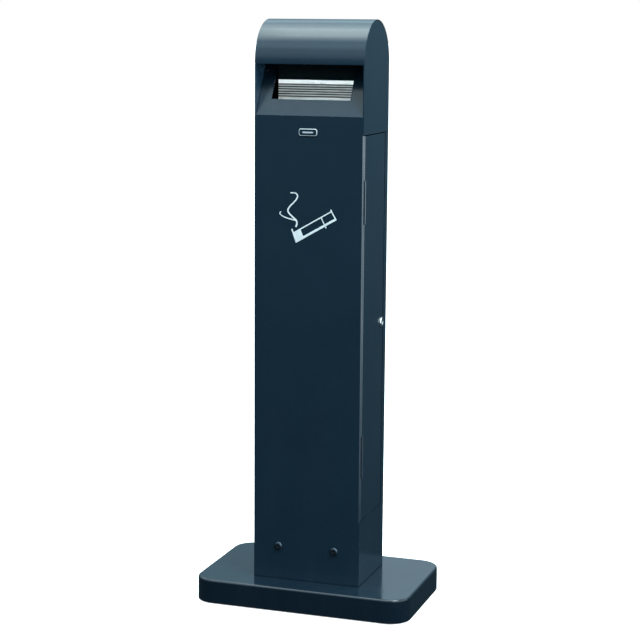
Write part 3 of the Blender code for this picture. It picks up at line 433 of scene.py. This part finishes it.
def dark_zinc(name):
    """Blackened zinc plate on bolts and screws, rubbed bright on its corners."""
    material, tree, surface = shader(name, Metallic=0.85)
    here = place(tree)
    cloud = remap(tree, noise(tree, here, 260.0, 5.0, 0.6), 0.3, 0.7)
    tone = mix_colour(tree, cloud, BOLT_BLACK, BOLT_GREY)
    rubbed_here = remap(tree, noise(tree, here, 500.0, 3.0), 0.4, 0.65)
    rub = calc(tree, "MULTIPLY", edge_mask(tree, BOLT_EDGE), rubbed_here)
    put(tree, surface.inputs["Base Color"],
        mix_colour(tree, calc(tree, "MULTIPLY", rub, 0.35), tone, BOLT_RUBBED))
    put(tree, surface.inputs["Roughness"], remap(tree, cloud, 0.0, 1.0, 0.28, 0.46))
    put(tree, surface.inputs["Normal"], bump(tree, noise(tree, here, 2400.0, 3.0), 0.00002, 0.4))
    return material


def concrete(name):
    """Cast concrete with sand grains, stones and air holes."""
    material, tree, surface = shader(name, Roughness=0.9)
    here = place(tree)
    sand = noise(tree, here, 900.0, 4.0, 0.7)
    patch = noise(tree, here, 24.0, 5.0, 0.6)
    tone = mix_colour(tree, remap(tree, patch, 0.3, 0.7), CEMENT, CEMENT_PALE)
    stone = remap(tree, cells(tree, here, 130.0, "Distance"), 0.20, 0.30, 1.0, 0.0)
    tone = mix_colour(tree, calc(tree, "MULTIPLY", stone, 0.35), tone, STONE)
    holes = remap(tree, cells(tree, here, 75.0, "Distance"), 0.07, 0.12, 1.0, 0.0)
    put(tree, surface.inputs["Base Color"], mix_colour(tree, holes, tone, AIR_HOLE))
    grain = bump(tree, sand, 0.0002, 0.6)
    put(tree, surface.inputs["Normal"], bump(tree, calc(tree, "SUBTRACT", 1.0, holes), 0.0006, 0.7, grain))
    return material


def rubber(name):
    """Black rubber with a matt bloom and scuffs."""
    material, tree, surface = shader(name, Specular_IOR_Level=0.4)
    here = place(tree)
    bloom = remap(tree, noise(tree, here, 120.0, 5.0, 0.6), 0.35, 0.7)
    put(tree, surface.inputs["Base Color"],
        mix_colour(tree, bloom, RUBBER, RUBBER_BLOOMED))
    put(tree, surface.inputs["Roughness"], remap(tree, bloom, 0.0, 1.0, 0.55, 0.80))
    put(tree, surface.inputs["Normal"], bump(tree, noise(tree, here, 1500.0, 4.0), 0.00005, 0.5))
    return material


def light_print(name, colour, blushed):
    """Cut vinyl or enamel in a light tone: a slight blush of dirt, and the coat's peel showing through."""
    material, tree, surface = shader(name, Specular_IOR_Level=0.4)
    here = place(tree)
    grey = remap(tree, noise(tree, here, 180.0, 5.0, 0.65), 0.4, 0.75)
    put(tree, surface.inputs["Base Color"], mix_colour(tree, grey, colour, blushed))
    put(tree, surface.inputs["Roughness"], remap(tree, grey, 0.0, 1.0, 0.38, 0.55))
    put(tree, surface.inputs["Normal"], bump(tree, noise(tree, here, 420.0, 2.0), 0.00005, 0.4))
    return material


def blackened_steel(name):
    """Blackened, oiled hinge steel, with rust showing in spots; its very dark tone and weak gloss are
    partly painted shade for the hinge seen in the door's notches.
    """
    material, tree, surface = shader(name, Metallic=0.2, Specular_IOR_Level=0.15)
    here = place(tree)
    film = remap(tree, noise(tree, here, 320.0, 5.0, 0.6), 0.35, 0.7)
    spots = remap(tree, noise(tree, here, 140.0, 6.0, 0.65), 0.62, 0.70)
    tone = mix_colour(tree, film, HINGE_SHADE_BLACK, HINGE_SHADE_OILED)
    put(tree, surface.inputs["Base Color"],
        mix_colour(tree, calc(tree, "MULTIPLY", spots, 0.3), tone, RUST))
    put(tree, surface.inputs["Roughness"], remap(tree, film, 0.0, 1.0, 0.50, 0.70))
    put(tree, surface.inputs["Normal"], bump(tree, noise(tree, here, 1900.0, 3.0), 0.00003, 0.5))
    return material


FINISHES = {
    "column": powder_coat("column_powder_coat", POWDER_BLUE, POWDER_BLUE_WORN),
    "door": powder_coat("door_powder_coat", POWDER_BLUE, POWDER_BLUE_WORN),
    "base": powder_coat("base_gloss_coat", BASE_BLUE, BASE_BLUE_WORN, gloss=0.14, peel=0.3, dust=0.015,
                        wear_and_highlight=0.08),
    "graphics": light_print("badge_silver_enamel", ENAMEL_SILVER, ENAMEL_DULL),
    "hinges": blackened_steel("hinge_blackened_steel_shade"),
    "mouth_back": sooty_shade_coat("mouth_sooty_shade_coat"),
    "stub_plate": stub_steel("stub_plate_brushed_steel"),
    "lock": chrome("lock_chrome"),
    "zinc_sheet": galvanised("zinc_sheet_spangle", 0.35),
    "bin": galvanised("bin_spangle", 0.60),
    "fasteners": dark_zinc("fastener_dark_zinc"),
    "ballast": concrete("ballast_concrete"),
    "rubber": rubber("black_rubber"),
}


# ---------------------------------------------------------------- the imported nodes

def smooth_by_angle(limit):
    """A geometry group that drops stored normals and smooths every edge flatter than the limit."""
    group = bpy.data.node_groups.new("smooth_by_angle", "GeometryNodeTree")
    group.interface.new_socket("Geometry", in_out="INPUT", socket_type="NodeSocketGeometry")
    group.interface.new_socket("Geometry", in_out="OUTPUT", socket_type="NodeSocketGeometry")
    start = add(group, "NodeGroupInput")
    cleared = add(group, "GeometryNodeSetMeshNormal", mode="SHARPNESS")
    group.links.new(start.outputs[0], cleared.inputs["Mesh"])
    faces = add(group, "GeometryNodeSetShadeSmooth", {0: cleared.outputs[0]}, domain="FACE")
    angle = add(group, "GeometryNodeInputMeshEdgeAngle")
    flatter = add(group, "FunctionNodeCompare", {0: angle.outputs["Unsigned Angle"], 1: limit},
                  operation="LESS_EQUAL", data_type="FLOAT")
    edges = add(group, "GeometryNodeSetShadeSmooth", {0: faces.outputs[0]}, domain="EDGE")
    group.links.new(flatter.outputs[0], edges.inputs["Shade Smooth"])
    end = add(group, "NodeGroupOutput")
    group.links.new(edges.outputs[0], end.inputs[0])
    return group


def soften(node, group):
    """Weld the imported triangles, round the sheet's edges a little and smooth its bends."""
    weld = node.modifiers.new("weld", "WELD")
    weld.merge_threshold = WELD_DISTANCE
    flat = node.modifiers.new("flat", "DECIMATE")
    flat.decimate_type = "DISSOLVE"
    flat.angle_limit = math.radians(FLAT_ANGLE)
    edge = node.modifiers.new("edge", "BEVEL")
    edge.width = EDGE_ROUNDING
    edge.segments = 2
    edge.limit_method = "ANGLE"
    edge.angle_limit = math.radians(SMOOTH_ANGLE)
    smooth = node.modifiers.new("smooth", "NODES")
    smooth.node_group = group
    weighted = node.modifiers.new("weighted", "WEIGHTED_NORMAL")
    weighted.weight = 100
    weighted.keep_sharp = True


def slots_by_node():
    """Which material slot the record gives each node."""
    return {row["node"]: row["material_slot"] for row in frame["record"]["subparts"]}


def finish_nodes():
    group = smooth_by_angle(math.radians(SMOOTH_ANGLE))
    slot_of = slots_by_node()
    for name, node in frame["nodes"].items():
        soften(node, group)
        for slot in node.material_slots:
            slot.material = FINISHES[slot_of[name]]


# ---------------------------------------------------------------- the decal

def front_face_y():
    """The front panel's outer face."""
    low, _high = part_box("front_panel")
    return low[1]


def prism_object(name, loops, face_y):
    """Flat outlines in X and Z, given their thickness against the face at face_y."""
    mesh = bmesh.new()
    for loop in loops:
        corners = [mesh.verts.new((x, face_y, z)) for x, z in loop]
        mesh.faces.new(corners)
    bmesh.ops.remove_doubles(mesh, verts=mesh.verts, dist=1e-6)
    bmesh.ops.recalc_face_normals(mesh, faces=mesh.faces)
    raised = bmesh.ops.extrude_face_region(mesh, geom=list(mesh.faces))
    moved = [item for item in raised["geom"] if isinstance(item, bmesh.types.BMVert)]
    bmesh.ops.translate(mesh, verts=moved, vec=(0.0, -DECAL_THICKNESS, 0.0))
    bmesh.ops.recalc_face_normals(mesh, faces=mesh.faces)
    data = bpy.data.meshes.new(name)
    mesh.to_mesh(data)
    mesh.free()
    piece = bpy.data.objects.new(name, data)
    bpy.context.scene.collection.objects.link(piece)
    return piece


def cigarette_loops():
    """The cigarette's ember, two long lines, filter line and end caps, cell by cell."""
    turn = math.radians(DECAL_TILT)
    length = DECAL_COLUMNS[-1]

    def corner(along, across):
        along += DECAL_LEAN * across * (1.0 - along / length)
        return (DECAL_CORNER[0] + along * math.cos(turn) - across * math.sin(turn),
                DECAL_CORNER[1] + along * math.sin(turn) + across * math.cos(turn))

    loops = []
    for column, (low, high) in DECAL_CELLS:
        left, right = DECAL_COLUMNS[column:column + 2]
        for row in range(low, high):
            bottom, top = DECAL_ROWS[row:row + 2]
            loops.append([corner(left, bottom), corner(right, bottom),
                          corner(right, top), corner(left, top)])
    return loops


def curve_through(points, steps):
    """A smooth run of points through the given ones (Catmull-Rom)."""
    ends = [points[0], *points, points[-1]]
    run = []
    for index in range(1, len(ends) - 2):
        before, start, end, after = (Vector(ends[index + k]) for k in (-1, 0, 1, 2))
        for step in range(steps):
            t = step / steps
            run.append(0.5 * (2.0 * start + (end - before) * t
                              + (2.0 * before - 5.0 * start + 4.0 * end - after) * t ** 2
                              + (3.0 * start - before - 3.0 * end + after) * t ** 3))
    run.append(Vector(ends[-1]))
    return run


def ribbon_loops(points, widths):
    """A stroke of changing width along a smooth curve, as a strip of quads."""
    run = curve_through(points, RIBBON_STEPS)
    last = len(run) - 1
    sides = []
    for index, point in enumerate(run):
        along = (run[min(index + 1, last)] - run[max(index - 1, 0)]).normalized()
        half = 0.5 * (widths[0] + (widths[1] - widths[0]) * index / last)
        across = Vector((-along.y, along.x)) * half
        sides.append((point - across, point + across))
    return [[a[0], a[1], b[1], b[0]] for a, b in zip(sides, sides[1:])]


def join_solids(first, second):
    """Make one closed solid of two that cross."""
    union = first.modifiers.new("union", "BOOLEAN")
    union.operation = "UNION"
    union.solver = "EXACT"
    union.object = second
    evaluated = first.evaluated_get(bpy.context.evaluated_depsgraph_get())
    joined = bpy.data.meshes.new_from_object(evaluated)
    first.modifiers.clear()
    first.data = joined
    bpy.data.objects.remove(second)


def make_decal():
    vinyl = light_print("decal_white_vinyl", PRINT_WHITE, PRINT_GREY)
    face_y = front_face_y()
    cigarette = prism_object("decal_cigarette", cigarette_loops(), face_y)
    smoke = prism_object("decal_smoke", ribbon_loops(SMOKE, SMOKE_WIDTHS), face_y)
    join_solids(smoke, prism_object("decal_wisp", ribbon_loops(WISP, WISP_WIDTHS), face_y))
    for piece in (cigarette, smoke):
        piece.data.materials.clear()
        piece.data.materials.append(vinyl)
        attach(piece, "column")


def rounded_outline(middle, half_width, half_height, radius):
    """A rectangle with round corners in X and Z, one point list that starts on its right side."""
    outline = []
    for quarter, (side_x, side_z) in enumerate(((1, 1), (-1, 1), (-1, -1), (1, -1))):
        corner = (middle[0] + side_x * (half_width - radius), middle[1] + side_z * (half_height - radius))
        for step in range(BADGE_CORNER_STEPS + 1):
            angle = math.radians(90.0 * (quarter + step / BADGE_CORNER_STEPS))
            outline.append((corner[0] + radius * math.cos(angle), corner[1] + radius * math.sin(angle)))
    return outline


def make_badge_field():
    """The badge's dark field, inside its silver rim and around a plain silver bar."""
    low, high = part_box("badge")
    middle = (0.5 * (low[0] + high[0]), 0.5 * (low[2] + high[2]))
    half_width, half_height = 0.5 * (high[0] - low[0]) - BADGE_RIM, 0.5 * (high[2] - low[2]) - BADGE_RIM
    outer = rounded_outline(middle, half_width, half_height, BADGE_FIELD_CORNER)
    bar_half_height = 0.5 * BADGE_BAR[1]
    inner = rounded_outline(middle, 0.5 * BADGE_BAR[0], bar_half_height,
                            bar_half_height * BADGE_BAR_ROUNDNESS)
    count = len(outer)
    loops = [[outer[i], outer[(i + 1) % count], inner[(i + 1) % count], inner[i]] for i in range(count)]
    field = prism_object("badge_field", loops, low[1])
    field.data.materials.append(powder_coat("badge_field_enamel", POWDER_BLUE, POWDER_BLUE_WORN))
    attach(field, "column")


# ---------------------------------------------------------------- studio

def direction(azimuth, elevation):
    """Unit vector towards an azimuth, from the front turning to the object's right, and an elevation."""
    turn, rise = math.radians(azimuth), math.radians(elevation)
    return Vector((math.sin(turn) * math.cos(rise), -math.cos(turn) * math.cos(rise), math.sin(rise)))


def soft_light(name, location, size, radiance, colour, aim):
    """A rectangular softbox at a place, turned to the point it is aimed at, of an even radiance."""
    data = bpy.data.lights.new(name, "AREA")
    data.shape = "RECTANGLE"
    data.size, data.size_y = size
    data.energy = ENERGY_PER_AREA * radiance * size[0] * size[1]
    data.color = colour
    light = bpy.data.objects.new(name, data)
    light.location = location
    light.rotation_euler = (Vector(location) - Vector(aim)).to_track_quat("Z", "Y").to_euler()
    light.visible_camera = False
    bpy.context.scene.collection.objects.link(light)
    return light


def make_world():
    """A studio that is bright overhead and dim below; the camera itself sees plain white."""
    world = bpy.data.worlds.new("studio")
    bpy.context.scene.world = world
    world.use_nodes = True
    tree = world.node_tree
    tree.nodes.clear()
    coordinates = add(tree, "ShaderNodeTexCoord")
    parts = add(tree, "ShaderNodeSeparateXYZ", {0: coordinates.outputs["Generated"]})
    rise = add(tree, "ShaderNodeValToRGB", {0: remap(tree, parts.outputs["Z"], -1.0, 1.0)})
    ramp = rise.color_ramp
    for element, (elevation, glow, tint) in zip((ramp.elements[0], ramp.elements[1]), (SKY[0], SKY[-1])):
        element.position = 0.5 + 0.5 * math.sin(math.radians(elevation))
        element.color = (*(glow * part for part in tint), 1.0)
    for elevation, glow, tint in SKY[1:-1]:
        element = ramp.elements.new(0.5 + 0.5 * math.sin(math.radians(elevation)))
        element.color = (*(glow * part for part in tint), 1.0)
    room = add(tree, "ShaderNodeBackground", {"Color": rise.outputs["Color"], "Strength": 1.0})
    white = add(tree, "ShaderNodeBackground", {"Color": (1.0, 1.0, 1.0), "Strength": 1.0})
    seen = add(tree, "ShaderNodeLightPath")
    both = add(tree, "ShaderNodeMixShader", {0: seen.outputs["Is Camera Ray"], 1: room.outputs[0],
                                             2: white.outputs[0]})
    add(tree, "ShaderNodeOutputWorld", {"Surface": both.outputs[0]})


def make_floor():
    """A wide pale floor, just under the foot pads."""
    data = bpy.data.meshes.new("floor")
    level = CAD_BOX[0][2] - FLOOR_GAP
    corners = [(x * FLOOR_HALF, y * FLOOR_HALF, level) for x, y in ((-1, -1), (1, -1), (1, 1), (-1, 1))]
    data.from_pydata(corners, [], [(0, 1, 2, 3)])
    floor = bpy.data.objects.new("floor", data)
    bpy.context.scene.collection.objects.link(floor)
    material, tree, surface = shader("floor_paper", Roughness=0.9, Specular_IOR_Level=0.1,
                                     Emission_Strength=0.62)
    put(tree, surface.inputs["Emission Color"], FLOOR_GLOW)
    tone = mix_colour(tree, noise(tree, place(tree), 3.0, 4.0), FLOOR_PAPER, FLOOR_PAPER_LIGHT)
    put(tree, surface.inputs["Base Color"], tone)
    data.materials.append(material)
    floor.visible_glossy = False
    floor.visible_diffuse = False


def make_camera():
    data = bpy.data.cameras.new("camera")
    data.lens = CAMERA_LENS_MM
    data.sensor_width = CAMERA_SENSOR_MM
    data.clip_end = CAMERA_CLIP_END
    camera = bpy.data.objects.new("camera", data)
    bpy.context.scene.collection.objects.link(camera)
    back = direction(CAMERA_AZIMUTH, CAMERA_ELEVATION)
    side = (-back).cross(Vector((0.0, 0.0, 1.0))).normalized()
    up = side.cross(-back)
    roll = math.radians(CAMERA_ROLL)
    across = math.cos(roll) * side + math.sin(roll) * up
    rise = math.cos(roll) * up - math.sin(roll) * side
    turn = Matrix((across, rise, back)).transposed()
    camera.matrix_world = Matrix.Translation(Vector(CAMERA_TARGET) + back * CAMERA_DISTANCE) @ turn.to_4x4()
    bpy.context.scene.camera = camera


def keep_off_base(light):
    """Leave the base out of what a light reaches, so its top does not mirror the light from the left."""
    apart = bpy.data.collections.new("out_of_" + light.name)
    apart.objects.link(frame["nodes"]["base_shell"])
    apart.collection_objects[0].light_linking.link_state = "EXCLUDE"
    light.light_linking.receiver_collection = apart


def shine_only_on(light, name):
    """Let a light reach one node only. Returns the collection that holds that node."""
    alone = bpy.data.collections.new("lit_by_" + light.name)
    alone.objects.link(frame["nodes"][name])
    light.light_linking.receiver_collection = alone
    return alone


def make_overhead():
    """The softboxes above, facing straight down."""
    for name, width, front, rear, height, radiance in OVERHEAD:
        middle_y = 0.5 * (front + rear)
        soft_light(name, (0.0, middle_y, height), (width, rear - front), radiance, CANOPY,
                   (0.0, middle_y, 0.0))


def make_screens():
    """The level screens along the right, which show in gloss but do not light matt surfaces."""
    for name, where, size, radiance, reaches_base in RIGHT_SCREENS:
        screen = soft_light(name, where, size, radiance, SCREEN_TINT, (0.0, 0.0, where[2]))
        screen.visible_diffuse = False
        if not reaches_base:
            keep_off_base(screen)


def make_cards():
    """The single cards. Two of them reach one node each, and nothing but that node blocks the plate's."""
    cards = {name: soft_light(name, *settings) for name, *settings in CARDS}
    plate_card = cards["plate_card"]
    plate_card.light_linking.blocker_collection = shine_only_on(plate_card, "stub_plate")
    plate_card.data.cycles.use_multiple_importance_sampling = False
    shine_only_on(cards["wall_card"], "left_side_panel")
    cards["hood_card"].visible_diffuse = False


def make_studio():
    scene = bpy.context.scene
    scene.view_settings.view_transform = "Standard"
    scene.view_settings.look = "None"
    make_world()
    make_floor()
    make_camera()
    make_overhead()
    make_screens()
    make_cards()


finish_nodes()
make_decal()
make_badge_field()
make_studio()
